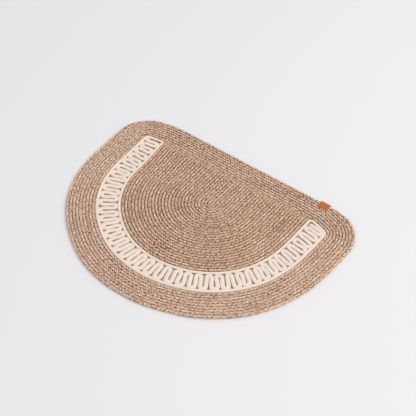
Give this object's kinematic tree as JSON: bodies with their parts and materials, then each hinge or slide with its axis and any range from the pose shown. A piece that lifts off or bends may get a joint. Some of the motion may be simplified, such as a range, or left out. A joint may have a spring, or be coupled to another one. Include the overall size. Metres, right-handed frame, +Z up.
{
  "type": "doormat",
  "caption": "Flat half-moon doormat sewn from braided cord, with a curved openwork band between a field and a border, and a small folded leather tab on the straight edge.",
  "frame": {"origin": "centre of the bounding box's bottom face, on the floor under the mat", "axes": "+X along the straight edge, +Y from the round side towards the straight edge, +Z up from the floor"},
  "size_m": [0.7, 0.5218, 0.0085],
  "materials": {
    "melange_cord": "braided cord in mottled beige and brown, matt",
    "cream_cord": "braided cream cord, matt",
    "leather": "smooth tan leather, satin"
  },
  "bodies": {
    "root": {"field": "melange_cord", "border": "melange_cord", "band_frame": "cream_cord", "band_meander": "cream_cord", "label": "leather"}
  },
  "joints": []
}
